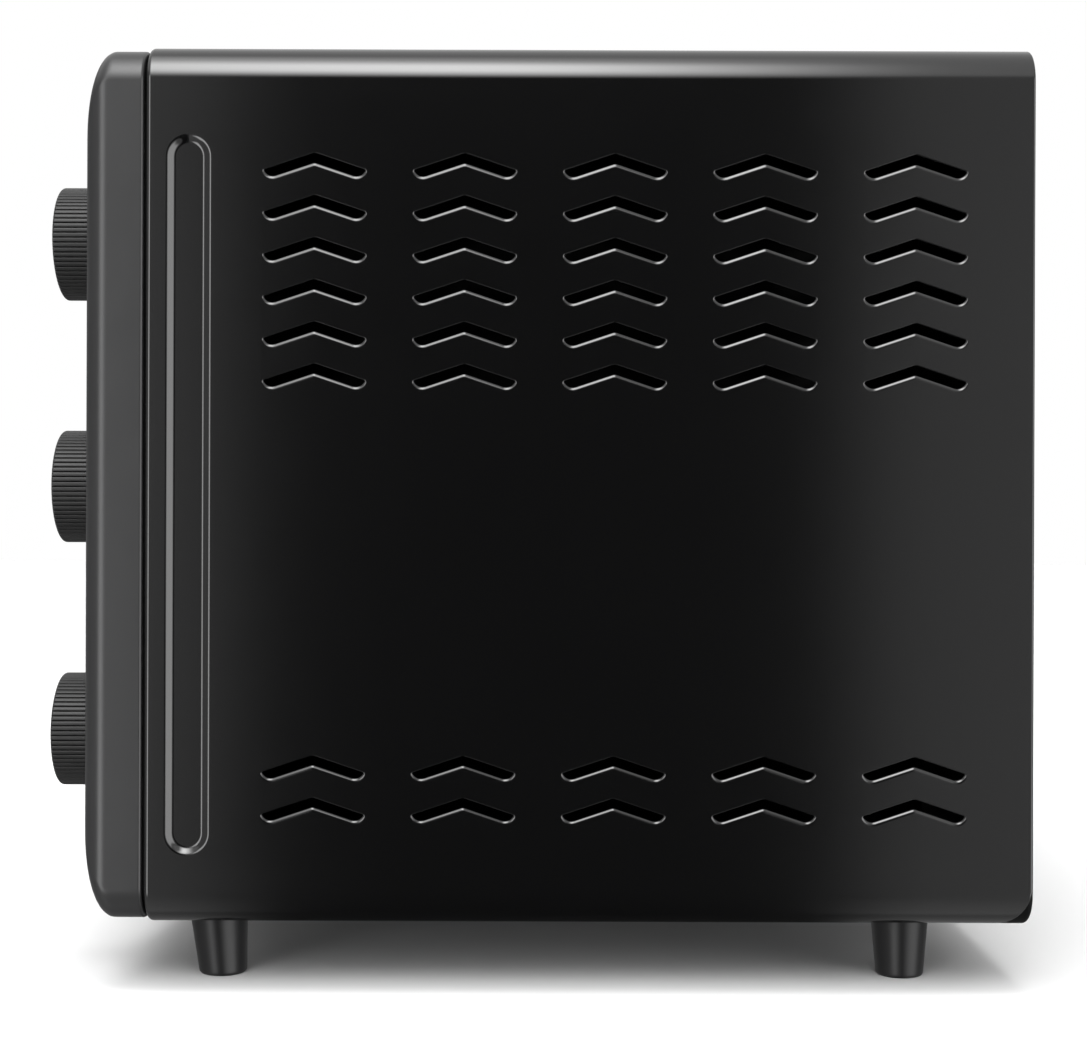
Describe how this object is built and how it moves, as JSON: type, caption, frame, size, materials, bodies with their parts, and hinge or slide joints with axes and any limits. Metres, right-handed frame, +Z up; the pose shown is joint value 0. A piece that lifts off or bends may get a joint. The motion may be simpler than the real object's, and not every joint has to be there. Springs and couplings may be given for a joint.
{
  "type": "toaster oven",
  "caption": "Countertop toaster oven: drop-down glass door with a pull handle, a column of ribbed knobs, chevron-vented sides, a wire rack, a pan and a crumb tray, on tapered feet.",
  "frame": {"origin": "middle of the bounding box's underside, on the surface that the feet stand on", "axes": "+X to the right of someone facing the door, where the control column is; -Y out of the door; +Z up"},
  "size_m": [0.49, 0.3786, 0.3387],
  "materials": {
    "case_black": "semi-gloss black paint",
    "frame_black": "satin dark grey",
    "foot_black": "moulded, semi-gloss",
    "rubber": "matt",
    "panel_black": "semi-gloss black paint with printed scales",
    "steel": "zinc plated",
    "control_body": "moulded",
    "ceramic": "unglazed",
    "lamp": "clear red",
    "knob_black": "finely ribbed",
    "knob_cap": "spun",
    "liner": "aluminised, satin",
    "element": "heat-dulled",
    "chrome": "bright",
    "pan_enamel": "gloss enamel",
    "door_black": "semi-gloss black paint",
    "glass": "clear, slightly smoked",
    "handle": "brushed"
  },
  "bodies": {
    "case": {"outer_shell": "case_black", "base_pan": "case_black", "back_cover": "case_black", "heat_shield": "case_black", "front_frame": "frame_black", "foot_front_left": "foot_black", "foot_front_right": "foot_black", "foot_rear_left": "foot_black", "foot_rear_right": "foot_black", "cord_gland": "rubber", "control_panel": "panel_black", "control_plate": "steel", "timer_bell": "steel", "element_bracket_lower_left": "steel", "element_bracket_lower_right": "steel", "element_bracket_upper_left": "steel", "element_bracket_upper_right": "steel", "thermal_cutout": "steel", "hinge_pin_left": "steel", "hinge_pin_right": "steel", "door_spring_left": "steel", "door_spring_right": "steel", "timer": "control_body", "function_switch": "control_body", "thermostat": "ceramic", "terminal_block": "ceramic", "pilot_lamp": "lamp", "oven_cavity": "liner", "rack_rail_left": "liner", "rack_rail_right": "liner", "heating_element_lower_front": "element", "heating_element_lower_rear": "element", "heating_element_upper_front": "element", "heating_element_upper_rear": "element"},
    "door": {"door_frame": "door_black", "door_glass": "glass", "glass_retainer": "liner", "hinge_block_left": "steel", "hinge_block_right": "steel", "door_handle": "handle", "handle_post_left": "handle", "handle_post_right": "handle"},
    "rack": {"wire_rack": "chrome", "baking_pan": "pan_enamel"},
    "crumb_tray": {"crumb_tray": "case_black", "crumb_tray_front": "case_black"},
    "temperature_knob": {"temperature_knob": "knob_black", "temperature_knob_cap": "knob_cap", "temperature_shaft": "steel"},
    "function_knob": {"function_knob": "knob_black", "function_knob_cap": "knob_cap", "function_shaft": "steel"},
    "timer_knob": {"timer_knob": "knob_black", "timer_knob_cap": "knob_cap", "timer_shaft": "steel"}
  },
  "joints": [
    {"name": "door_hinge", "type": "hinge", "parent": "case", "child": "door", "pos_m": [-0.054, -0.14625, 0.07], "axis": [1, 0, 0], "range_deg": [0, 90], "stiffness_Nm_per_rad": 0.25, "springref_deg": -34.38},
    {"name": "rack_slide", "type": "slide", "parent": "case", "child": "rack", "axis": [0, -1, 0], "range_m": [0, 0.12]},
    {"name": "crumb_tray_slide", "type": "slide", "parent": "case", "child": "crumb_tray", "axis": [0, -1, 0], "range_m": [0, 0.16]},
    {"name": "temperature_turn", "type": "hinge", "parent": "case", "child": "temperature_knob", "pos_m": [0.1855, -0.1741, 0.2749], "axis": [0, 1, 0], "range_deg": [0, 300]},
    {"name": "function_turn", "type": "hinge", "parent": "case", "child": "function_knob", "pos_m": [0.1855, -0.1741, 0.1811], "axis": [0, 1, 0], "range_deg": [0, 270]},
    {"name": "timer_turn", "type": "hinge", "parent": "case", "child": "timer_knob", "pos_m": [0.1855, -0.1741, 0.0873], "axis": [0, 1, 0], "range_deg": [0, 330]}
  ],
  "couplings": [
    {"joint": "rack_slide", "follows": "door_hinge", "m_per_rad": 0.07}
  ]
}
